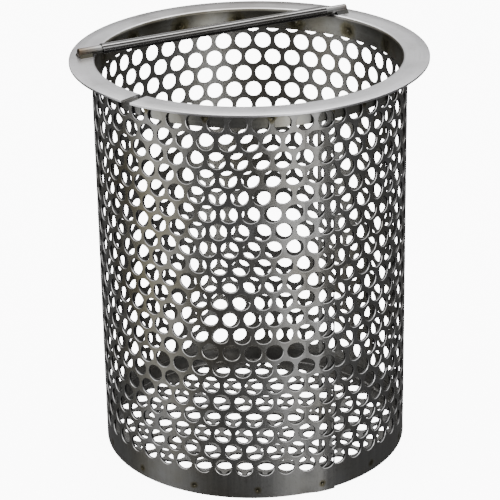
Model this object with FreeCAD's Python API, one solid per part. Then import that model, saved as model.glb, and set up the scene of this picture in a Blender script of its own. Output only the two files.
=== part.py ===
"""Basket strainer: a basket of perforated stainless sheet with a split rim, a pan base and a rod handle.

Millimetres. +Z is up along the basket's axis, and the origin is at the centre of the base's underside.
Angles are in degrees, anticlockwise from +X as seen from above.
"""
import FreeCAD, Part
import math
import os

Vector = FreeCAD.Vector

# ---- Driving dimensions ----
basket_height = 157.0            # underside of the base to the top face of the rim flange
wall_outer_radius = 59.45        # outside of the rolled perforated sheet
sheet_thickness = 0.9            # the wall, the rim and the base are cut from the same sheet
weld_gap = 0.15                  # between two faces that are spot welded together

# Perforation: quarter-inch holes staggered at 60 degrees, a sixteenth of an inch of metal between neighbours.
hole_diameter = 6.35
hole_web = 1.5875
first_row_depth = 6.75           # top of the rim flange to the centres of the first row of holes
least_bottom_margin = 9.4        # unpunched band left at the foot of the wall, at least this high
first_column_offset = 0.47       # sheared edge under the lap to the first column of holes

# Side seam: the two ends of the rolled sheet overlap, and the outer one is joggled over the inner one.
seam_edge_angle = -60.3          # visible edge of the outer end
lap_width = 6.0                  # how far the two ends overlap
lap_clearance = 0.15             # between the overlapping ends
joggle_width = 5.5               # length of sheet over which the outer end steps outwards

# Rim: an angle-section ring, a flat flange with a collar that drops inside the wall, split on one side.
flange_outer_radius = 67.75
collar_depth = 8.3               # top of the flange to the lower edge of the collar
bend_inner_radius = 0.5
rim_gap_angle = -130.7
rim_gap_width = 4.2
wall_under_rim_clearance = 0.1   # top edge of the wall to the start of the rim's bend

# Base: a shallow pan with an upturned edge, nested in the unpunched foot of the wall.
base_edge_height = 7.0
base_pattern_angle = -4.8        # direction of the rows of holes
base_pattern_x = 4.0             # where one hole of the pattern lies
base_pattern_y = -35.8

# Handle: a straight rod across the mouth, off centre and square to the seam's diameter.
handle_rod_diameter = 3.2
handle_rod_length = 115.0
handle_offset = 28.5             # basket axis to the rod's axis
handle_weld_length = 5.0
handle_weld_width = 1.1          # how far each bead spreads beyond the side of the rod
handle_weld_height = 1.2
bead_root_gap = 0.6              # each bead stops this far short of the line where the rod touches

# Grip: a strip of thin sheet folded over the rod, open along its underside.
grip_length = 96.0
grip_sheet_thickness = 0.5
grip_clearance = 0.05            # inside of the fold to the rod
grip_lift = 0.3                  # lower edges of the fold to the rim flange

# Spot welds.
rim_weld_radius = 1.2
rim_weld_depth = 4.5             # top of the flange to the centre of each rim weld
webs_between_rim_welds = 3
base_weld_radius = 1.8
base_weld_height = 3.4
base_weld_count = 15
base_weld_from_seam = -2.2       # degrees from the middle of the lap to the first of them
seam_foot_weld_radius = 1.8
seam_foot_weld_height = 5.0
seam_top_weld_radius = 0.85

# ---- Sizes that follow ----
hole_radius = hole_diameter / 2
hole_pitch = hole_diameter + hole_web
row_pitch = hole_pitch * math.sin(math.radians(60))
wall_inner_radius = wall_outer_radius - sheet_thickness
wall_middle_radius = wall_outer_radius - sheet_thickness / 2
lap_lift = sheet_thickness + lap_clearance
bend_outer_radius = bend_inner_radius + sheet_thickness
nested_outer_radius = wall_inner_radius - weld_gap
nested_inner_radius = nested_outer_radius - sheet_thickness
flange_underside = basket_height - sheet_thickness
wall_top = flange_underside - bend_inner_radius - wall_under_rim_clearance
first_row_height = basket_height - first_row_depth
row_count = int((first_row_height - least_bottom_margin - hole_radius) / row_pitch) + 1


def arc_angle(length):
    """Angle that a length along the middle of the wall's sheet takes up."""
    return math.degrees(length / wall_middle_radius)


seam_outer_end = seam_edge_angle + 360
seam_inner_end = seam_edge_angle - arc_angle(lap_width)
seam_middle_angle = (seam_edge_angle + seam_inner_end) / 2
joggle_end = seam_inner_end + 360 - arc_angle(lap_clearance)
joggle_start = joggle_end - arc_angle(joggle_width)
column_angle = arc_angle(hole_pitch)
first_column_angle = seam_inner_end + arc_angle(first_column_offset)
column_count = int((seam_outer_end + arc_angle(hole_radius) - first_column_angle) / column_angle) + 1
handle_angle = seam_middle_angle + 90
handle_axis_height = basket_height + handle_rod_diameter / 2
grip_inner_radius = handle_rod_diameter / 2 + grip_clearance
grip_outer_radius = grip_inner_radius + grip_sheet_thickness


def polar(radius, angle, height=0.0):
    """Point at a radius and angle about the basket's axis."""
    turn = math.radians(angle)
    return Vector(radius * math.cos(turn), radius * math.sin(turn), height)


def arc_edge(radius, start, end):
    """Arc about the basket's axis, in the XY plane."""
    middle = polar(radius, (start + end) / 2)
    return Part.Arc(polar(radius, start), middle, polar(radius, end)).toShape()


def line_edge(start, end):
    return Part.LineSegment(start, end).toShape()


def prism(edges, base, direction):
    """Solid swept from a closed outline along a direction."""
    face = Part.Face(Part.Wire(edges))
    face.translate(base)
    return face.extrude(direction)


def ring(inner_radius, outer_radius, bottom, top):
    """Plain cylindrical shell about the basket's axis."""
    outer = Part.makeCylinder(outer_radius, top - bottom, Vector(0, 0, bottom))
    inner = Part.makeCylinder(inner_radius, top - bottom, Vector(0, 0, bottom))
    return outer.cut(inner)


def radial_pin(radius, angle, height, start_radius, end_radius):
    """Round pin that points outwards from the basket's axis."""
    outwards = polar(1, angle)
    return Part.makeCylinder(radius, end_radius - start_radius, polar(start_radius, angle, height), outwards)


def profile_point(radius, height):
    """Point of a turned profile, in the XZ half plane."""
    return Vector(radius, 0, height)


def fillet_arc(centre_radius, centre_height, bend_radius, start_angle):
    """Quarter arc of a turned profile, anticlockwise from a start angle about its own centre."""
    ends = []
    for angle in (start_angle, start_angle + 45, start_angle + 90):
        turn = math.radians(angle)
        ends.append(profile_point(centre_radius + bend_radius * math.cos(turn),
                                  centre_height + bend_radius * math.sin(turn)))
    return Part.Arc(*ends).toShape()


def turned(edges):
    """Solid of revolution about the basket's axis."""
    face = Part.Face(Part.Wire(edges))
    return face.revolve(Vector(0, 0, 0), Vector(0, 0, 1), 360)


def rolled_sheet():
    """Unpunched wall: an open band with its outer end joggled over its inner end."""
    lifted_inner = wall_inner_radius + lap_lift
    lifted_outer = wall_outer_radius + lap_lift
    middle = (seam_inner_end + joggle_start) / 2
    outline = [
        arc_edge(wall_outer_radius, seam_inner_end, middle),
        arc_edge(wall_outer_radius, middle, joggle_start),
        line_edge(polar(wall_outer_radius, joggle_start), polar(lifted_outer, joggle_end)),
        arc_edge(lifted_outer, joggle_end, seam_outer_end),
        line_edge(polar(lifted_outer, seam_outer_end), polar(lifted_inner, seam_outer_end)),
        arc_edge(lifted_inner, seam_outer_end, joggle_end),
        line_edge(polar(lifted_inner, joggle_end), polar(wall_inner_radius, joggle_start)),
        arc_edge(wall_inner_radius, joggle_start, middle),
        arc_edge(wall_inner_radius, middle, seam_inner_end),
        line_edge(polar(wall_inner_radius, seam_inner_end), polar(wall_outer_radius, seam_inner_end)),
    ]
    return prism(outline, Vector(0, 0, 0), Vector(0, 0, wall_top))


def inner_lap_guard():
    """Everything inside the outer lap, which the holes punched in the outer lap must not reach."""
    guard_radius = wall_outer_radius + lap_clearance / 2
    guard_start = joggle_end + arc_angle(lap_clearance / 2)
    guard_end = guard_start + arc_angle(lap_width + hole_pitch)
    outline = [
        line_edge(Vector(0, 0, 0), polar(guard_radius, guard_start)),
        arc_edge(guard_radius, guard_start, guard_end),
        line_edge(polar(guard_radius, guard_end), Vector(0, 0, 0)),
    ]
    return prism(outline, Vector(0, 0, -1), Vector(0, 0, basket_height))


def punch_tools():
    """Pins for every hole of the staggered pattern, including those that the sheared ends cut through."""
    inside = wall_inner_radius - sheet_thickness
    just_outside = wall_outer_radius + lap_clearance / 5
    beyond_lap = wall_outer_radius + 2 * lap_lift
    guard = inner_lap_guard()
    tools = []
    for row in range(row_count):
        height = first_row_height - row * row_pitch
        stagger = 0.5 * (row % 2)
        for column in range(column_count):
            angle = first_column_angle + (column + stagger) * column_angle
            if angle + arc_angle(hole_radius) < joggle_start:
                tools.append(radial_pin(hole_radius, angle, height, inside, just_outside))
            elif angle - arc_angle(hole_radius) < seam_outer_end:
                pin = radial_pin(hole_radius, angle, height, inside, beyond_lap)
                tools.append(pin.cut(guard))
    return tools


def perforated_wall():
    """One sheet, punched, rolled round and lapped at the seam."""
    return rolled_sheet().cut(punch_tools())


def rim_ring():
    """Angle-section ring, turned whole and then split."""
    bend_centre_radius = nested_outer_radius + bend_inner_radius
    bend_centre_height = flange_underside - bend_inner_radius
    collar_bottom = basket_height - collar_depth
    profile = [
        line_edge(profile_point(flange_outer_radius, flange_underside),
                  profile_point(flange_outer_radius, basket_height)),
        line_edge(profile_point(flange_outer_radius, basket_height),
                  profile_point(bend_centre_radius, basket_height)),
        fillet_arc(bend_centre_radius, bend_centre_height, bend_outer_radius, 90),
        line_edge(profile_point(nested_inner_radius, bend_centre_height),
                  profile_point(nested_inner_radius, collar_bottom)),
        line_edge(profile_point(nested_inner_radius, collar_bottom),
                  profile_point(nested_outer_radius, collar_bottom)),
        line_edge(profile_point(nested_outer_radius, collar_bottom),
                  profile_point(nested_outer_radius, bend_centre_height)),
        fillet_arc(bend_centre_radius, bend_centre_height, bend_inner_radius, 90),
        line_edge(profile_point(bend_centre_radius, flange_underside),
                  profile_point(flange_outer_radius, flange_underside)),
    ]
    split = Part.makeBox(2 * flange_outer_radius, rim_gap_width, 2 * collar_depth,
                         Vector(0, -rim_gap_width / 2, collar_bottom - sheet_thickness))
    split.rotate(Vector(0, 0, 0), Vector(0, 0, 1), rim_gap_angle)
    return turned(profile).cut(split)


def base_holes():
    """Pins for the staggered holes that fit wholly inside the base's upturned edge."""
    reach = nested_inner_radius - hole_radius
    along = polar(hole_pitch, base_pattern_angle)
    across = polar(row_pitch, base_pattern_angle + 90)
    start = Vector(base_pattern_x, base_pattern_y, -sheet_thickness)
    span = int(2 * wall_outer_radius / row_pitch) + 1
    tools = []
    for row in range(-span, span + 1):
        for column in range(-span, span + 1):
            centre = start + along * (column + 0.5 * (row % 2)) + across * row
            if math.hypot(centre.x, centre.y) <= reach:
                tools.append(Part.makeCylinder(hole_radius, 3 * sheet_thickness, centre))
    return tools


def base_pan():
    """Perforated disc with an upturned edge."""
    bend_centre_radius = nested_inner_radius - bend_inner_radius
    profile = [
        line_edge(profile_point(0, 0), profile_point(bend_centre_radius, 0)),
        fillet_arc(bend_centre_radius, bend_outer_radius, bend_outer_radius, 270),
        line_edge(profile_point(nested_outer_radius, bend_outer_radius),
                  profile_point(nested_outer_radius, base_edge_height)),
        line_edge(profile_point(nested_outer_radius, base_edge_height),
                  profile_point(nested_inner_radius, base_edge_height)),
        line_edge(profile_point(nested_inner_radius, base_edge_height),
                  profile_point(nested_inner_radius, bend_outer_radius)),
        fillet_arc(bend_centre_radius, bend_outer_radius, bend_inner_radius, 270),
        line_edge(profile_point(bend_centre_radius, sheet_thickness), profile_point(0, sheet_thickness)),
        line_edge(profile_point(0, sheet_thickness), profile_point(0, 0)),
    ]
    return turned(profile).cut(base_holes())


def place_on_handle(shape):
    """Turn and move a shape drawn along X at the basket's axis to where the handle lies."""
    shape.rotate(Vector(0, 0, 0), Vector(0, 0, 1), handle_angle)
    shape.translate(polar(handle_offset, handle_angle + 90))
    return shape


def handle_rod():
    start = Vector(-handle_rod_length / 2, 0, handle_axis_height)
    return place_on_handle(Part.makeCylinder(handle_rod_diameter / 2, handle_rod_length, start, Vector(1, 0, 0)))


def handle_grip():
    """Inverted U that wraps the top and both sides of the rod."""
    foot = basket_height + grip_lift
    section = [
        line_edge(Vector(0, -grip_outer_radius, foot), Vector(0, -grip_outer_radius, handle_axis_height)),
        Part.Arc(Vector(0, -grip_outer_radius, handle_axis_height),
                 Vector(0, 0, handle_axis_height + grip_outer_radius),
                 Vector(0, grip_outer_radius, handle_axis_height)).toShape(),
        line_edge(Vector(0, grip_outer_radius, handle_axis_height), Vector(0, grip_outer_radius, foot)),
        line_edge(Vector(0, grip_outer_radius, foot), Vector(0, grip_inner_radius, foot)),
        line_edge(Vector(0, grip_inner_radius, foot), Vector(0, grip_inner_radius, handle_axis_height)),
        Part.Arc(Vector(0, grip_inner_radius, handle_axis_height),
                 Vector(0, 0, handle_axis_height + grip_inner_radius),
                 Vector(0, -grip_inner_radius, handle_axis_height)).toShape(),
        line_edge(Vector(0, -grip_inner_radius, handle_axis_height), Vector(0, -grip_inner_radius, foot)),
        line_edge(Vector(0, -grip_inner_radius, foot), Vector(0, -grip_outer_radius, foot)),
    ]
    return place_on_handle(prism(section, Vector(-grip_length / 2, 0, 0), Vector(grip_length, 0, 0)))


def handle_weld(end):
    """The two fillet beads that hold one end of the rod to the flange; end is -1 or +1."""
    rod_radius = handle_rod_diameter / 2
    toe = rod_radius + handle_weld_width
    section = [
        Vector(0, bead_root_gap, 0),
        Vector(0, toe, 0),
        Vector(0, rod_radius, handle_weld_height),
        Vector(0, bead_root_gap, handle_weld_height),
    ]
    edges = [line_edge(section[i], section[(i + 1) % 4]) for i in range(4)]
    rod = Part.makeCylinder(rod_radius, handle_rod_length,
                            Vector(-handle_rod_length / 2, 0, handle_axis_height), Vector(1, 0, 0))
    outer_end = end * (handle_rod_length / 2)
    start = min(outer_end, outer_end - end * handle_weld_length)
    bead = prism(edges, Vector(start, 0, basket_height), Vector(handle_weld_length, 0, 0)).cut(rod)
    other = bead.mirror(Vector(0, 0, 0), Vector(0, 1, 0))
    return place_on_handle(Part.makeCompound(bead.Solids + other.Solids))


def nugget(radius, angle, height, gap_inner_radius, gap_outer_radius):
    """Spot weld that fills the gap between two curved sheets."""
    reach = sheet_thickness
    pin = radial_pin(radius, angle, height, gap_inner_radius - reach, gap_outer_radius + reach)
    gap = ring(gap_inner_radius, gap_outer_radius, height - 2 * radius, height + 2 * radius)
    return pin.common(gap).Solids[0]


def rim_spot_welds():
    """Collar to wall, one in every third web of the first row of holes and one at the seam."""
    webs = [0] + list(range(2, column_count - 3, webs_between_rim_welds))
    gap_half_angle = arc_angle(rim_gap_width / 2 + 2 * rim_weld_radius)
    solids = []
    for web in webs:
        angle = first_column_angle + (web + 0.5) * column_angle
        from_gap = (angle - rim_gap_angle + 180) % 360 - 180
        if abs(from_gap) > gap_half_angle:
            solids.append(nugget(rim_weld_radius, angle, basket_height - rim_weld_depth,
                                 nested_outer_radius, wall_inner_radius))
    return Part.makeCompound(solids)


def base_spot_welds():
    """Upturned edge of the base to the foot of the wall, evenly spaced from one beside the seam."""
    solids = []
    for index in range(base_weld_count):
        angle = seam_middle_angle + base_weld_from_seam + index * 360 / base_weld_count
        solids.append(nugget(base_weld_radius, angle, base_weld_height, nested_outer_radius, wall_inner_radius))
    return Part.makeCompound(solids)


def seam_spot_welds():
    """Lap to lap, in the unpunched foot and in the narrow strip above the first row of holes."""
    strip_bottom = first_row_height + hole_radius
    lapped_outer_radius = wall_outer_radius + lap_clearance
    foot = nugget(seam_foot_weld_radius, seam_middle_angle, seam_foot_weld_height,
                  wall_outer_radius, lapped_outer_radius)
    top = nugget(seam_top_weld_radius, seam_middle_angle, (strip_bottom + wall_top) / 2,
                 wall_outer_radius, lapped_outer_radius)
    return Part.makeCompound([foot, top])


parts = {
    "perforated_wall": perforated_wall,
    "rim_ring": rim_ring,
    "base_pan": base_pan,
    "handle_rod": handle_rod,
    "handle_grip": handle_grip,
    "handle_weld_left": lambda: handle_weld(-1),
    "handle_weld_right": lambda: handle_weld(1),
    "rim_spot_welds": rim_spot_welds,
    "base_spot_welds": base_spot_welds,
    "seam_spot_welds": seam_spot_welds,
}

os.makedirs("parts", exist_ok=True)
for name, make in parts.items():
    shape = make()
    shape.exportStep(f"parts/{name}.step")
    box = shape.BoundBox
    print(name, "solids", len(shape.Solids), "valid", shape.isValid(), "volume", round(shape.Volume, 2),
          "z", round(box.ZMin, 2), round(box.ZMax, 2))
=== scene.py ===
import math

import bmesh
import bpy
import numpy as np
from mathutils import Matrix, Vector


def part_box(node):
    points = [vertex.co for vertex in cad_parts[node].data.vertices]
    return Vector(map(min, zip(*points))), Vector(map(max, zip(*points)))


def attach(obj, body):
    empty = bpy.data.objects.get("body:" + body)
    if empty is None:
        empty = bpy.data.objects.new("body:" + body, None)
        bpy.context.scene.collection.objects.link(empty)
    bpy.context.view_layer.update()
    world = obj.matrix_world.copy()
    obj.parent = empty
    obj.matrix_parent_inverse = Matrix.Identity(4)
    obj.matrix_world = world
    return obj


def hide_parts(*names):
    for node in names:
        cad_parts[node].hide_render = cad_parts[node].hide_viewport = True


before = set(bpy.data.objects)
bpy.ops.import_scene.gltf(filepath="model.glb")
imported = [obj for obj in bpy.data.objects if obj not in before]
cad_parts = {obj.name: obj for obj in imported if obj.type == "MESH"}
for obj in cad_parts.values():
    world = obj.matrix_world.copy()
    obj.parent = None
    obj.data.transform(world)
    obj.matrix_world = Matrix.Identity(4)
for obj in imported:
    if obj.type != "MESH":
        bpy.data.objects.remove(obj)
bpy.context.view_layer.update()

# ---- Perforated wall ----
# One sheet of staggered round-hole stainless, punched flat, sheared to length, rolled into a cylinder and
# spot welded where its ends lap. Mill finish, brushed up its height, with brown heat tint at the welds.
wall_radius = 0.05945
wall_sheet = 0.0009
wall_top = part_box("perforated_wall")[1].z
hole_pitch = 0.0079375
hole_radius = 0.003175
row_pitch = hole_pitch * math.sin(math.radians(60))
first_row_height = 0.15025
row_count = 21
wall_middle = wall_radius - wall_sheet / 2
seam_edge = math.radians(-60.3)
lap_width = 0.0060
lap_clearance = 0.00015
lap_lift = wall_sheet + lap_clearance
joggle_width = 0.0055
punched_edge_width = 0.00018
punched_edge_depth = 0.00016
hole_sides = 16
sheet_start = seam_edge - lap_width / wall_middle
sheet_length = 2 * math.pi * wall_middle + lap_width
first_column = 0.00047
# What each face of the sheet is, kept on the mesh as an attribute.
SHEARED_EDGE, OUTSIDE, INSIDE, PUNCHED_EDGE, HOLE_WALL = range(5)


def flat_cell(name, half_width, low, high, hole, end):
    """One cell of the sheet in the XY plane, outer face at z 0: punched if hole is a radius, else plain.
    end is -1 or +1 where the sheet's own lower or upper edge closes the cell, or 0."""
    bm = bmesh.new()
    side = bm.faces.layers.int.new("side")

    def face(points, kind):
        bm.faces.new(points)[side] = kind

    def corners(depth):
        xy = [(half_width, (low + high) / 2), (half_width, high), (0, high), (-half_width, high),
              (-half_width, (low + high) / 2), (-half_width, low), (0, low), (half_width, low)]
        return [bm.verts.new((x, y, -depth)) for x, y in xy]

    front, back = corners(0), corners(wall_sheet)
    if hole:
        rings = []
        for radius, depth in ((hole + punched_edge_width, 0), (hole, punched_edge_depth), (hole, wall_sheet)):
            ring = []
            for k in range(hole_sides):
                turn = 2 * math.pi * k / hole_sides
                ring.append(bm.verts.new((radius * math.cos(turn), radius * math.sin(turn), -depth)))
            rings.append(ring)
        for k in range(8):
            n, i = (k + 1) % 8, 2 * k
            trio = [rings[0][(i + 2) % hole_sides], rings[0][i + 1], rings[0][i]]
            face([front[k], front[n], *trio], OUTSIDE)
            trio = [rings[2][i], rings[2][i + 1], rings[2][(i + 2) % hole_sides]]
            face([back[n], back[k], *trio], INSIDE)
        for upper, lower, kind in ((0, 1, PUNCHED_EDGE), (1, 2, HOLE_WALL)):
            for k in range(hole_sides):
                n = (k + 1) % hole_sides
                face([rings[upper][k], rings[upper][n], rings[lower][n], rings[lower][k]], kind)
    else:
        face(front, OUTSIDE)
        face(back[::-1], INSIDE)
    for first in {1: (1, 2), 0: (), -1: (5, 6)}[end]:
        face([front[first], back[first], back[first + 1], front[first + 1]], SHEARED_EDGE)
    mesh = bpy.data.meshes.new(name)
    bm.to_mesh(mesh)
    bm.free()
    return bpy.data.objects.new(name, mesh)


def node_tree_inputs(tree, wanted):
    """Named inputs on a Geometry Nodes tree; returns each one's socket identifier."""
    found = {}
    for name, kind, default in wanted:
        socket = tree.interface.new_socket(name, in_out="INPUT", socket_type="NodeSocket" + kind)
        if default is not None:
            socket.default_value = default
        found[name] = socket.identifier
    tree.interface.new_socket("Geometry", in_out="OUTPUT", socket_type="NodeSocketGeometry")
    return found


def grow(name, tree, identifiers, values):
    """Runs a Geometry Nodes tree on an empty mesh and returns the result as a plain mesh object."""
    carrier = bpy.data.objects.new(name + "_carrier", bpy.data.meshes.new(name + "_carrier"))
    bpy.context.scene.collection.objects.link(carrier)
    modifier = carrier.modifiers.new("grow", "NODES")
    modifier.node_group = tree
    for key, value in values.items():
        modifier[identifiers[key]] = value
    bpy.context.view_layer.update()
    depsgraph = bpy.context.evaluated_depsgraph_get()
    mesh = bpy.data.meshes.new_from_object(carrier.evaluated_get(depsgraph), depsgraph=depsgraph)
    bpy.data.objects.remove(carrier)
    mesh.name = name
    made = bpy.data.objects.new(name, mesh)
    bpy.context.scene.collection.objects.link(made)
    return made


def punching_tree():
    """Instances the cells of the sheet: staggered rows of holes, and a plain row above and below them."""
    tree = bpy.data.node_groups.new("punched_sheet", "GeometryNodeTree")
    ids = node_tree_inputs(tree, [
        ("Columns", "Int", 10), ("Rows", "Int", 3), ("Pitch", "Float", 0.008),
        ("Row Pitch", "Float", 0.007), ("First Column", "Float", 0.0), ("First Row", "Float", 0.0),
        ("Hole Cell", "Object", None), ("Foot Cell", "Object", None), ("Top Cell", "Object", None),
        ("Material", "Material", None)])
    nodes, links = tree.nodes, tree.links
    source = nodes.new("NodeGroupInput")

    def math_node(operation, *values):
        node = nodes.new("ShaderNodeMath")
        node.operation = operation
        for socket, value in zip(node.inputs, values):
            if isinstance(value, (int, float)):
                socket.default_value = value
            else:
                links.new(value, socket)
        return node.outputs[0]

    index = nodes.new("GeometryNodeInputIndex").outputs[0]
    columns = source.outputs["Columns"]
    join = nodes.new("GeometryNodeJoinGeometry")
    for cell, rows in (("Hole Cell", source.outputs["Rows"]), ("Foot Cell", 1), ("Top Cell", 1)):
        row = math_node("FLOOR", math_node("DIVIDE", math_node("ADD", index, 0.5), columns))
        column = math_node("SUBTRACT", index, math_node("MULTIPLY", row, columns))
        stagger = math_node("MULTIPLY", math_node("MODULO", row, 2.0), 0.5)
        x = math_node("MULTIPLY_ADD", math_node("ADD", column, stagger), source.outputs["Pitch"],
                      source.outputs["First Column"])
        y = math_node("SUBTRACT", source.outputs["First Row"],
                      math_node("MULTIPLY", row, source.outputs["Row Pitch"]))
        place = nodes.new("ShaderNodeCombineXYZ")
        links.new(x, place.inputs[0])
        if cell == "Hole Cell":
            links.new(y, place.inputs[1])
        points = nodes.new("GeometryNodePoints")
        links.new(math_node("MULTIPLY", columns, rows), points.inputs["Count"])
        links.new(place.outputs[0], points.inputs["Position"])
        info = nodes.new("GeometryNodeObjectInfo")
        links.new(source.outputs[cell], info.inputs["Object"])
        instance = nodes.new("GeometryNodeInstanceOnPoints")
        links.new(points.outputs[0], instance.inputs["Points"])
        links.new(info.outputs["Geometry"], instance.inputs["Instance"])
        links.new(instance.outputs[0], join.inputs[0])
    realize = nodes.new("GeometryNodeRealizeInstances")
    paint = nodes.new("GeometryNodeSetMaterial")
    sink = nodes.new("NodeGroupOutput")
    links.new(join.outputs[0], realize.inputs[0])
    links.new(realize.outputs[0], paint.inputs[0])
    links.new(source.outputs["Material"], paint.inputs["Material"])
    links.new(paint.outputs[0], sink.inputs[0])
    return tree, ids


def shader(name):
    """A new material with its node tree, its Principled shader and a node maker."""
    material = bpy.data.materials.new(name)
    material.use_nodes = True
    tree = material.node_tree
    principled = tree.nodes["Principled BSDF"]

    def node(kind, inputs=None, **settings):
        made = tree.nodes.new(kind)
        for key, value in settings.items():
            setattr(made, key, value)
        for key, value in (inputs or {}).items():
            if isinstance(value, bpy.types.NodeSocket):
                tree.links.new(value, made.inputs[key])
            else:
                made.inputs[key].default_value = value
        return made

    def plug(value, socket):
        tree.links.new(value, principled.inputs[socket])

    return material, principled, node, plug


def ramp(node, factor, stops):
    """Colour ramp from (place, colour) stops."""
    made = node("ShaderNodeValToRGB", {"Fac": factor})
    elements = made.color_ramp.elements
    while len(elements) < len(stops):
        elements.new(0.5)
    for element, (place, colour) in zip(elements, stops):
        element.position = place
        element.color = (*colour, 1)
    return made.outputs["Color"]


def multiply(node, factor, colour, tint):
    """The colour, multiplied by the tint as far as the factor says."""
    return node("ShaderNodeMix", {0: factor, 6: colour, 7: tint}, data_type="RGBA",
                blend_type="MULTIPLY").outputs[2]


def steel(name, grey, warmth, roughness, grain, weld_rows=(), object_space=False, painted_streak_width=None, stains_and_shade=()):
    """Brushed stainless, on the sheet's own map in metres or on the piece's own space.

    grain is the noise scale of its brushing along u and v, or X, Y and Z.
    Each of weld_rows is (spacing, phase, height, reach): spots of heat tint along u at a height v.
    The streak width gives painted light and dark reflection streaks that run along u, standing also for
    drawing lines.
    Each patch of tint is (u, v, u reach, v reach, colour): a broad cloudy patch, used for real staining and
    for painted shade."""
    material, principled, node, plug = shader(name)
    coordinates = node("ShaderNodeTexCoord")
    place = coordinates.outputs["Object"]
    sheet = place if object_space else node("ShaderNodeUVMap", uv_map="sheet").outputs[0]
    stretched = node("ShaderNodeMapping", {"Vector": sheet, "Scale": grain}).outputs[0]
    brushing = node("ShaderNodeTexNoise", {"Vector": stretched, "Scale": 1.0, "Detail": 6.0,
                                           "Roughness": 0.65}).outputs["Fac"]
    clouds = node("ShaderNodeTexNoise", {"Vector": place, "Scale": 38.0, "Detail": 3.0,
                                         "Roughness": 0.6}).outputs["Fac"]
    specks = node("ShaderNodeTexNoise", {"Vector": place, "Scale": 900.0, "Detail": 2.0}).outputs["Fac"]
    base = ramp(node, clouds, [
        (0.3, (grey * 0.80, grey * 0.79 * (1 - warmth * 0.3), grey * 0.77 * (1 - warmth))),
        (0.5, (grey, grey * 0.99, grey * (1 - warmth * 0.4))),
        (0.7, (grey * 1.12, grey * 1.12, grey * 1.12))])
    streaks = ramp(node, brushing, [(0.3, (0.90, 0.90, 0.90)), (0.7, (1.0, 1.0, 1.0))])
    colour = multiply(node, 1.0, base, streaks)
    split = node("ShaderNodeSeparateXYZ", {0: sheet})
    # Painted reflection: light and dark streaks along u, which stand also for the drawing lines.
    if painted_streak_width:
        wavy = {0: brushing, 1: painted_streak_width * 0.8, 2: split.outputs[1]}
        across = node("ShaderNodeMath", wavy, operation="MULTIPLY_ADD").outputs[0]
        across = node("ShaderNodeMath", {0: across, 1: painted_streak_width / 2}, operation="PINGPONG").outputs[0]
        across = node("ShaderNodeMath", {0: across, 1: 2 / painted_streak_width}, operation="MULTIPLY").outputs[0]
        lines = ramp(node, across, [
            (0.0, (0.07, 0.07, 0.07)), (0.62, (0.20, 0.19, 0.19)), (0.95, (1.0, 1.0, 1.0))])
        colour = multiply(node, 1.0, colour, lines)
    dirt = ramp(node, specks, [(0.28, (0.62, 0.60, 0.57)), (0.42, (1.0, 1.0, 1.0))])
    colour = multiply(node, 0.35, colour, dirt)
    wobble = node("ShaderNodeTexNoise", {"Vector": place, "Scale": 420.0, "Detail": 2.0}).outputs["Fac"]
    dimples = []
    for spacing, phase, height, reach in weld_rows:
        along = node("ShaderNodeMath", {0: split.outputs[0], 1: phase}, operation="SUBTRACT").outputs[0]
        along = node("ShaderNodeMath", {0: along, 1: spacing / 2}, operation="PINGPONG").outputs[0]
        up = node("ShaderNodeMath", {0: split.outputs[1], 1: height}, operation="SUBTRACT").outputs[0]
        offset = node("ShaderNodeCombineXYZ", {0: along, 1: up}).outputs[0]
        far = node("ShaderNodeVectorMath", {0: offset}, operation="LENGTH").outputs["Value"]
        far = node("ShaderNodeMath", {0: far, 1: 1 / reach}, operation="MULTIPLY").outputs[0]
        far = node("ShaderNodeMath", {0: wobble, 1: 0.5, 2: far}, operation="MULTIPLY_ADD").outputs[0]
        tint = ramp(node, far, [
            (0.27, (1.0, 0.97, 0.82)), (0.36, (0.26, 0.23, 0.15)), (0.52, (0.34, 0.31, 0.21)),
            (0.72, (0.72, 0.68, 0.52)), (1.0, (1.0, 1.0, 1.0))])
        dimples.append(node("ShaderNodeMapRange", {0: far, 1: 0.22, 2: 0.52, 3: 0.0, 4: 1.0}).outputs[0])
        colour = multiply(node, 1.0, colour, tint)
    # Patches of tint: real staining and painted shade.
    for u, v, u_reach, v_reach, patch_colour in stains_and_shade:
        shifted = node("ShaderNodeVectorMath", {0: sheet, 1: (u, v, 0)}, operation="SUBTRACT").outputs[0]
        reach = (1 / u_reach, 1 / v_reach, 0)
        scaled = node("ShaderNodeVectorMath", {0: shifted, 1: reach}, operation="MULTIPLY").outputs[0]
        far = node("ShaderNodeVectorMath", {0: scaled}, operation="LENGTH").outputs["Value"]
        far = node("ShaderNodeMath", {0: clouds, 1: 1.2, 2: far}, operation="MULTIPLY_ADD").outputs[0]
        fade = node("ShaderNodeMapRange", {0: far, 1: 0.6, 2: 1.6, 3: 1.0, 4: 0.0}).outputs[0]
        colour = multiply(node, fade, colour, (*patch_colour, 1))
    rough = node("ShaderNodeMapRange", {0: brushing, 1: 0.3, 2: 0.7,
                                        3: roughness * 0.9, 4: roughness * 1.12}).outputs[0]
    bumps = node("ShaderNodeBump", {"Height": brushing, "Strength": 0.05, "Distance": 0.0002})
    plug(colour, "Base Color")
    plug(rough, "Roughness")
    for dimple in dimples:
        bumps = node("ShaderNodeBump", {"Height": dimple, "Strength": 0.7, "Distance": 0.00035,
                                        "Normal": bumps.outputs[0]})
    plug(bumps.outputs[0], "Normal")
    principled.inputs["Metallic"].default_value = 1.0
    return material


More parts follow.
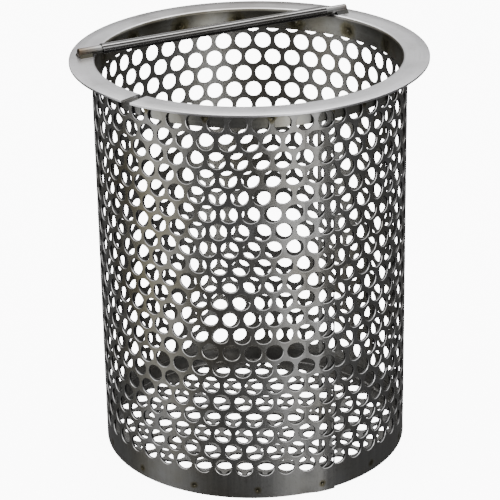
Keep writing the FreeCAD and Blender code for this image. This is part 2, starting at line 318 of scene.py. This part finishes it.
endless = 9.0
base_weld_spacing = math.radians(24) * wall_middle
first_base_weld = math.radians(-65.4) * wall_middle
rim_weld_spacing = 3 * hole_pitch
first_rim_weld = sheet_start * wall_middle + first_column + 2.5 * hole_pitch
wall_welds = [(base_weld_spacing, first_base_weld, 0.0034, 0.0024),
              (rim_weld_spacing, first_rim_weld, 0.1525, 0.0034)]
brushed_upwards = (900.0, 30.0, 1.0)
even_grain = (300.0, 300.0, 300.0)
front_left_tarnish = (math.radians(228) * wall_middle, 0.085, 0.030, 0.090, (0.86, 0.80, 0.58))
# Painted shade: a dark band round the top of the wall, under the flange's overhang.
painted_shade_under_flange = (math.radians(114) * wall_middle, 0.160, endless, 0.0070, (0.40, 0.38, 0.34))
wall_steel = steel("wall_steel", 0.33, 0.12, 0.36, brushed_upwards, wall_welds,
                   stains_and_shade=[front_left_tarnish, painted_shade_under_flange])
inner_steel = steel("wall_inside_steel", 0.36, 0.16, 0.36, brushed_upwards, wall_welds)
# Painted highlight: the punched and sheared edges are a much lighter copy of the wall's steel, for bright
# rims round the holes.
edge_highlight_steel = steel("punched_edge_highlight_steel", 0.62, 0.04, 0.26, even_grain, object_space=True)
# Painted shade: the walls inside the holes are a near-black copy of the wall's steel.
hole_wall_shade_steel = steel("punched_hole_shade_steel", 0.055, 0.10, 0.50, even_grain, object_space=True)
hole_cell = flat_cell("hole_cell", hole_pitch / 2, -row_pitch / 2, row_pitch / 2, hole_radius, 0)
top_cell = flat_cell("top_cell", hole_pitch / 2, first_row_height + row_pitch / 2, wall_top, 0, 1)
last_row_height = first_row_height - (row_count - 1) * row_pitch
foot_cell = flat_cell("foot_cell", hole_pitch / 2, 0, last_row_height - row_pitch / 2, 0, -1)
punching, punching_ids = punching_tree()
spare_columns = 2
wall = grow("perforated_wall_skin", punching, punching_ids, {
    "Columns": int(sheet_length / hole_pitch) + 2 * spare_columns, "Rows": row_count,
    "Pitch": hole_pitch, "Row Pitch": row_pitch,
    "First Column": first_column - spare_columns * hole_pitch, "First Row": first_row_height,
    "Hole Cell": hole_cell, "Foot Cell": foot_cell, "Top Cell": top_cell, "Material": wall_steel})
for cell in (hole_cell, top_cell, foot_cell):
    bpy.data.objects.remove(cell)

# The flat sheet is closed up, sheared at both ends and then rolled.
bm = bmesh.new()
bm.from_mesh(wall.data)
bmesh.ops.remove_doubles(bm, verts=bm.verts, dist=2e-6)
for place, away in ((0.0, -1), (sheet_length, 1)):
    everything = bm.verts[:] + bm.edges[:] + bm.faces[:]
    bmesh.ops.bisect_plane(bm, geom=everything, dist=1e-7, plane_co=(place, 0, 0), plane_no=(away, 0, 0),
                           clear_outer=True)
    bmesh.ops.holes_fill(bm, edges=[e for e in bm.edges if e.is_boundary], sides=0)
bm.to_mesh(wall.data)
bm.free()
flat = np.zeros(len(wall.data.vertices) * 3)
wall.data.vertices.foreach_get("co", flat)
flat = flat.reshape(-1, 3)
angle = sheet_start + flat[:, 0] / wall_middle
# The overlapping end steps outward over the joggle, so that it lies on the other end.
step_end = sheet_start + 2 * math.pi - lap_clearance / wall_middle
rise = np.clip((angle - step_end) * wall_middle / joggle_width + 1, 0, 1)
slope = np.where((rise > 0) & (rise < 1), lap_lift / joggle_width, 0)
radius = wall_radius + flat[:, 2] + lap_lift * rise
rolled = np.stack([radius * np.cos(angle), radius * np.sin(angle), flat[:, 1]], 1)
wall.data.vertices.foreach_set("co", rolled.ravel())
loop_vertex = np.zeros(len(wall.data.loops), int)
wall.data.loops.foreach_get("vertex_index", loop_vertex)
uv = wall.data.uv_layers.new(name="sheet")
uv.data.foreach_set("uv", np.stack([angle * wall_middle, flat[:, 1]], 1)[loop_vertex].ravel())
wall.data.update()
kinds = np.zeros(len(wall.data.polygons), int)
wall.data.attributes["side"].data.foreach_get("value", kinds)
totals = np.zeros(len(wall.data.polygons), int)
wall.data.polygons.foreach_get("loop_total", totals)
loop_kind = np.repeat(kinds, totals)
wall.data.materials.clear()
for material in (wall_steel, inner_steel, edge_highlight_steel, hole_wall_shade_steel):
    wall.data.materials.append(material)
slot_of_kind = np.zeros(5, int)
slot_of_kind[[SHEARED_EDGE, OUTSIDE, INSIDE, PUNCHED_EDGE, HOLE_WALL]] = [2, 0, 1, 2, 3]
wall.data.polygons.foreach_set("material_index", slot_of_kind[kinds])
# Both faces of the sheet take the cylinder's own normals; the edges and hole walls keep theirs.
outward = np.stack([np.cos(angle) + slope * np.sin(angle), np.sin(angle) - slope * np.cos(angle),
                    np.zeros(len(angle))], 1)
outward /= np.linalg.norm(outward, axis=1)[:, None]
normals = np.zeros((len(loop_vertex), 3))
normals[loop_kind == OUTSIDE] = outward[loop_vertex[loop_kind == OUTSIDE]]
normals[loop_kind == INSIDE] = -outward[loop_vertex[loop_kind == INSIDE]]
wall.data.shade_smooth()
wall.data.set_sharp_from_angle(angle=math.radians(35))
wall.data.normals_split_custom_set(normals.tolist())
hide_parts("perforated_wall")
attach(wall, "root")

# ---- Rim ring ----
# Angle section of satin stainless rolled into a ring: a flat flange outside and a collar that drops inside
# the wall, where it is spot welded and stained by the heat and painted darker as shade. Its two ends don't
# quite meet.
flange_radius = 0.06775
rim_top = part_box("rim_ring")[1].z
weld_gap = 0.00015
collar_outer = wall_radius - wall_sheet - weld_gap
collar_inner = collar_outer - wall_sheet
collar_depth = 0.0083
collar_bottom = rim_top - collar_depth
rim_gap_angle = math.radians(-130.7)
rim_gap_width = 0.0042
bend_inside = 0.0005
rim_edge = 0.00012


def revolve(name, profile, start, end, steps, closed_ends):
    """Turns a closed (radius, height) profile about Z, with a UV map of arc length and profile length."""
    bm = bmesh.new()
    uv_layer = bm.loops.layers.uv.new("sheet")
    full = abs(end - start) > 2 * math.pi - 1e-6
    rings = []
    for k in range(steps + (0 if full else 1)):
        a = start + (end - start) * k / steps
        rings.append([bm.verts.new((r * math.cos(a), r * math.sin(a), z)) for r, z in profile])
    lengths = [0.0]
    for a, b in zip(profile, profile[1:] + profile[:1]):
        lengths.append(lengths[-1] + math.dist(a, b))
    for k in range(steps):
        here, there = rings[k], rings[(k + 1) % len(rings)]
        for i in range(len(profile)):
            n = (i + 1) % len(profile)
            made = bm.faces.new([here[i], there[i], there[n], here[n]])
            turns = [start + (end - start) * q / steps for q in (k, k + 1, k + 1, k)]
            spans = [lengths[i], lengths[i], lengths[i + 1], lengths[i + 1]]
            for loop, turn, span in zip(made.loops, turns, spans):
                loop[uv_layer].uv = (turn * profile[i][0], span)
    if closed_ends and not full:
        bm.faces.new(rings[0])
        bm.faces.new(rings[-1][::-1])
    bmesh.ops.recalc_face_normals(bm, faces=bm.faces)
    mesh = bpy.data.meshes.new(name)
    bm.to_mesh(mesh)
    bm.free()
    mesh.shade_smooth()
    mesh.set_sharp_from_angle(angle=math.radians(32))
    made = bpy.data.objects.new(name, mesh)
    bpy.context.scene.collection.objects.link(made)
    return made


def corner(centre, radius, start, end, steps):
    """Points of an arc of a profile, in degrees."""
    turns = [math.radians(start + (end - start) * k / steps) for k in range(steps + 1)]
    return [(centre[0] + radius * math.cos(a), centre[1] + radius * math.sin(a)) for a in turns]


bend = (collar_outer + bend_inside, rim_top - wall_sheet - bend_inside)
rim_profile = [(flange_radius - rim_edge, rim_top),
               (flange_radius - rim_edge * 0.3, rim_top - rim_edge * 0.3),
               (flange_radius, rim_top - rim_edge), (flange_radius, rim_top - wall_sheet + rim_edge),
               (flange_radius - rim_edge, rim_top - wall_sheet)]
rim_profile += corner(bend, bend_inside, 90, 180, 5)
rim_profile += [(collar_outer, collar_bottom + rim_edge), (collar_outer - rim_edge, collar_bottom),
                (collar_inner + rim_edge, collar_bottom), (collar_inner, collar_bottom + rim_edge)]
rim_profile += corner(bend, bend_inside + wall_sheet, 180, 90, 10)
rim_profile += [((bend[0] + flange_radius) / 2, rim_top)]
half_gap = rim_gap_width / 2 / flange_radius
rim = revolve("rim_ring_skin", rim_profile, rim_gap_angle + half_gap,
              rim_gap_angle + 2 * math.pi - half_gap, 300, True)
rolled_along = (60.0, 2400.0, 1.0)
# Painted shade: the back half of the flange is darkened.
flange_back_painted_shade = (math.radians(88) * 0.064, 0.03, 0.060, endless, (0.58, 0.56, 0.53))
bend_shade = (0.0, 0.0268, endless, 0.0052, (0.30, 0.28, 0.25))
rim_steel = steel("rim_steel", 0.80, -0.03, 0.31, rolled_along, stains_and_shade=[flange_back_painted_shade])
# Painted shade: the collar is a darker, warmer copy of the flange's steel, with the welds' heat tint on it.
collar_shade_steel = steel("collar_shade_steel", 0.36, 0.26, 0.30, rolled_along,
                     [(rim_weld_spacing, first_rim_weld, 0.0215, 0.0062)], stains_and_shade=[bend_shade])
rim.data.materials.append(rim_steel)
rim.data.materials.append(collar_shade_steel)
for f in rim.data.polygons:
    in_collar = Vector(f.center.xy).length < wall_radius and abs(f.normal.z) < 0.8
    f.material_index = 1 if in_collar else 0
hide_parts("rim_ring")
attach(rim, "root")

# ---- Base pan ----
# A perforated disc with its edge turned up inside the foot of the wall, where it is spot welded. It is flat
# sheet with plain punched holes, duller than the wall, and the solid itself is shown.
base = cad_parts["base_pan"]
base_steel = steel("base_steel", 0.24, 0.10, 0.36, (70.0, 900.0, 70.0), object_space=True)
base.data.materials.clear()
base.data.materials.append(base_steel)

# ---- Handle rod ----
# A straight length of round bar laid across the mouth and welded down at both ends, where the heat has
# browned it. Its sawn ends are dark.
rod_radius = 0.0016
rod_length = 0.115
handle_angle = (seam_edge + sheet_start) / 2 + math.pi / 2
handle_offset = 0.0285
rod_height = rim_top + rod_radius
sideways = Vector((math.cos(handle_angle + math.pi / 2), math.sin(handle_angle + math.pi / 2), 0))
handle_place = Matrix.Translation(sideways * handle_offset) @ Matrix.Rotation(handle_angle, 4, "Z")
half_rod = rod_length / 2
end_edge = 0.0003
end_drop = 0.0002
lengthways = 12
rod_profile = [(0.0, half_rod), (rod_radius - end_edge, half_rod), (rod_radius, half_rod - end_drop)]
rod_profile += [(rod_radius, rod_length * (0.5 - k / lengthways)) for k in range(1, lengthways)]
rod_profile += [(r, -x) for r, x in rod_profile[2::-1]]
bm = bmesh.new()
uv_layer = bm.loops.layers.uv.new("sheet")
around = 32
turns = [2 * math.pi * k / around for k in range(around)]
hoops = []
for r, x in rod_profile[1:-1]:
    hoops.append([bm.verts.new((x, r * math.cos(t), rod_height + r * math.sin(t))) for t in turns])
tips = [bm.verts.new((x, 0, rod_height)) for x in (half_rod, -half_rod)]
for here, there in zip(hoops, hoops[1:]):
    for k in range(around):
        n = (k + 1) % around
        bm.faces.new([here[k], here[n], there[n], there[k]])
for k in range(around):
    bm.faces.new([tips[0], hoops[0][(k + 1) % around], hoops[0][k]])
    bm.faces.new([tips[1], hoops[-1][k], hoops[-1][(k + 1) % around]])
bmesh.ops.recalc_face_normals(bm, faces=bm.faces)
for f in bm.faces:
    for loop in f.loops:
        spot = loop.vert.co
        loop[uv_layer].uv = (spot.x, math.atan2(spot.z - rod_height, spot.y) * rod_radius)
bmesh.ops.transform(bm, matrix=handle_place, verts=bm.verts)
mesh = bpy.data.meshes.new("handle_rod_skin")
bm.to_mesh(mesh)
bm.free()
mesh.shade_smooth()
mesh.set_sharp_from_angle(angle=math.radians(35))
rod = bpy.data.objects.new("handle_rod_skin", mesh)
bpy.context.scene.collection.objects.link(rod)
right_heat_tint = (half_rod, 0.0, 0.008, endless, (0.36, 0.29, 0.23))
left_heat_tint = (-half_rod, 0.0, 0.008, endless, (0.46, 0.36, 0.27))
rod.data.materials.append(steel("rod_steel", 0.28, 0.10, 0.30, (40.0, 2500.0, 1.0),
                                stains_and_shade=[right_heat_tint, left_heat_tint]))
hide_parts("handle_rod")
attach(rod, "root")

# ---- Handle grip ----
# A strip of thin sheet folded over the rod as an inverted U, open below. Its ends are cut square and it is
# drawn along its length; its long thin light and dark streaks are painted reflections, with the drawing
# lines.
grip_length = 0.096
grip_clearance = 0.00005
grip_sheet = 0.0005
grip_lift = 0.0003
grip_inside = rod_radius + grip_clearance
grip_outside = grip_inside + grip_sheet
grip_foot = rim_top + grip_lift
lip = 0.00010
outline = [(-grip_outside + lip, grip_foot), (-grip_outside, grip_foot + lip)]
outline += [(-y, z) for y, z in corner((0, rod_height), grip_outside, 0, 180, 18)]
outline += [(grip_outside, grip_foot + lip), (grip_outside - lip, grip_foot), (grip_inside, grip_foot)]
outline += corner((0, rod_height), grip_inside, 0, 180, 14)
outline += [(-grip_inside, grip_foot)]
bm = bmesh.new()
uv_layer = bm.loops.layers.uv.new("sheet")
stations = 48
slices = []
for k in range(stations + 1):
    x = grip_length * (k / stations - 0.5)
    slices.append([bm.verts.new((x, y, z)) for y, z in outline])
for here, there in zip(slices, slices[1:]):
    for i in range(len(outline)):
        n = (i + 1) % len(outline)
        bm.faces.new([here[i], here[n], there[n], there[i]])
bm.faces.new(slices[0])
bm.faces.new(slices[-1][::-1])
bmesh.ops.recalc_face_normals(bm, faces=bm.faces)
for f in bm.faces:
    for loop in f.loops:
        spot = loop.vert.co
        loop[uv_layer].uv = (spot.x, math.atan2(spot.z - rod_height, spot.y) * rod_radius)
bmesh.ops.transform(bm, matrix=handle_place, verts=bm.verts)
mesh = bpy.data.meshes.new("handle_grip_skin")
bm.to_mesh(mesh)
bm.free()
mesh.shade_smooth()
mesh.set_sharp_from_angle(angle=math.radians(35))
grip = bpy.data.objects.new("handle_grip_skin", mesh)
bpy.context.scene.collection.objects.link(grip)
grip.data.materials.append(steel("grip_steel", 0.46, 0.05, 0.26, (6.0, 900.0, 1.0), painted_streak_width=0.00085))
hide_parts("handle_grip")
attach(grip, "root")

# ---- Handle welds ----
# Two short fillet beads at each end of the rod, laid by hand and browned by the heat. The solids themselves
# are shown, with a scaly weld-metal surface, near-black from weld scale and from painted shade under the rod.
# Weld scale and painted shade: near-black weld metal, standing also for the shade under the rod's ends.
weld_scale_and_shade_steel = steel("weld_scale_and_shade_steel", 0.065, 0.40, 0.45, (500.0, 500.0, 500.0), object_space=True)
for name in ("handle_weld_left", "handle_weld_right"):
    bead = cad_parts[name]
    bead.data.materials.clear()
    bead.data.materials.append(weld_scale_and_shade_steel)

# ---- Spot welds ----
# Small fused spots of metal between the sheets, where the electrodes pressed them together. They lie out of
# sight in the gap; what shows of them is the stain and the dimple in the sheets' own steel.
for name in ("rim_spot_welds", "base_spot_welds", "seam_spot_welds"):
    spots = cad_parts[name]
    spots.data.materials.clear()
    spots.data.materials.append(weld_scale_and_shade_steel)

# ---- Studio ----
# Plain pale floor, a soft overhead light and two tall soft boxes, one at the front right and one at the left.
floor_mesh = bpy.data.meshes.new("floor")
floor_mesh.from_pydata([(-6, -6, 0), (6, -6, 0), (6, 6, 0), (-6, 6, 0)], [], [(0, 1, 2, 3)])
floor = bpy.data.objects.new("floor", floor_mesh)
bpy.context.scene.collection.objects.link(floor)
floor_paint, floor_shader, node, plug = shader("floor_paint")
grain = node("ShaderNodeTexNoise", {"Vector": node("ShaderNodeTexCoord").outputs["Object"], "Scale": 3.0})
plug(ramp(node, grain.outputs["Fac"], [(0.3, (0.88, 0.88, 0.88)), (0.7, (0.90, 0.90, 0.90))]), "Base Color")
floor_shader.inputs["Roughness"].default_value = 0.9
floor.data.materials.append(floor_paint)
floor_shader.inputs["Emission Color"].default_value = (1, 1, 1, 1)
floor_shader.inputs["Emission Strength"].default_value = 9.0
floor.visible_glossy = False
floor.visible_shadow = False

world = bpy.data.worlds.new("studio")
bpy.context.scene.world = world
world.use_nodes = True
sky = world.node_tree
direction = sky.nodes.new("ShaderNodeTexCoord").outputs["Generated"]
parts = sky.nodes.new("ShaderNodeSeparateXYZ")
sky.links.new(direction, parts.inputs[0])
spread = sky.nodes.new("ShaderNodeValToRGB")
sky.links.new(parts.outputs["Z"], spread.inputs[0])
brightness_by_height = [(0.0, 0.085), (0.22, 0.30), (0.28, 0.46), (0.35, 1.0), (0.5, 1.0)]
sky_strength = 1.12
for place, level in brightness_by_height[2:]:
    spread.color_ramp.elements.new(place)
for element, (place, level) in zip(spread.color_ramp.elements, brightness_by_height):
    element.position = place
    element.color = (level, level, level, 1)
stronger = sky.nodes.new("ShaderNodeMath")
stronger.operation = "MULTIPLY"
stronger.inputs[1].default_value = sky_strength
sky.links.new(spread.outputs[0], stronger.inputs[0])
sky.links.new(stronger.outputs[0], sky.nodes["Background"].inputs["Strength"])
sky.nodes["Background"].inputs["Color"].default_value = (1, 1, 1, 1)


def soft_box(name, azimuth, elevation, distance, width, height, power):
    """Area light aimed at the basket's middle."""
    light = bpy.data.lights.new(name, "AREA")
    light.shape = "RECTANGLE"
    light.size, light.size_y = width, height
    light.energy = power
    lamp = bpy.data.objects.new(name, light)
    a, e = math.radians(azimuth), math.radians(elevation)
    back = Vector((math.cos(a) * math.cos(e), math.sin(a) * math.cos(e), math.sin(e)))
    lamp.location = Vector((0, 0, 0.08)) + back * distance
    lamp.rotation_mode = "QUATERNION"
    lamp.rotation_quaternion = back.to_track_quat("Z", "Y")
    bpy.context.scene.collection.objects.link(lamp)


soft_box("overhead", 90, 75, 1.6, 1.6, 1.6, 30)
soft_box("right_box", -60, 5, 1.3, 0.5, 1.6, 6.5)
soft_box("left_box", -157, 5, 1.3, 0.9, 1.6, 6)

# ---- Camera ----
# A long lens that looks down on the basket from the front, turned and rolled very slightly off its middle.
camera_data = bpy.data.cameras.new("camera")
camera_data.lens = 159.81
camera_data.sensor_width = 36
camera_data.clip_end = 50
camera = bpy.data.objects.new("camera", camera_data)
distance, elevation = 0.8643, math.radians(23.272)
place = Vector((0, -distance * math.cos(elevation), distance * math.sin(elevation)))
ahead, right = -place.normalized(), Vector((1, 0, 0))
up = right.cross(ahead)
pan = Matrix.Rotation(0.0011, 3, up)
ahead, right = pan @ ahead, pan @ right
tilt = Matrix.Rotation(-0.0018, 3, right)
ahead, up = tilt @ ahead, tilt @ up
roll = Matrix.Rotation(0.0162, 3, ahead)
right, up = roll @ right, roll @ up
camera.matrix_world = (Matrix.Translation(place + Vector((0, 0, 0.0785)))
                       @ Matrix((right, up, -ahead)).transposed().to_4x4())
bpy.context.scene.collection.objects.link(camera)
bpy.context.scene.camera = camera
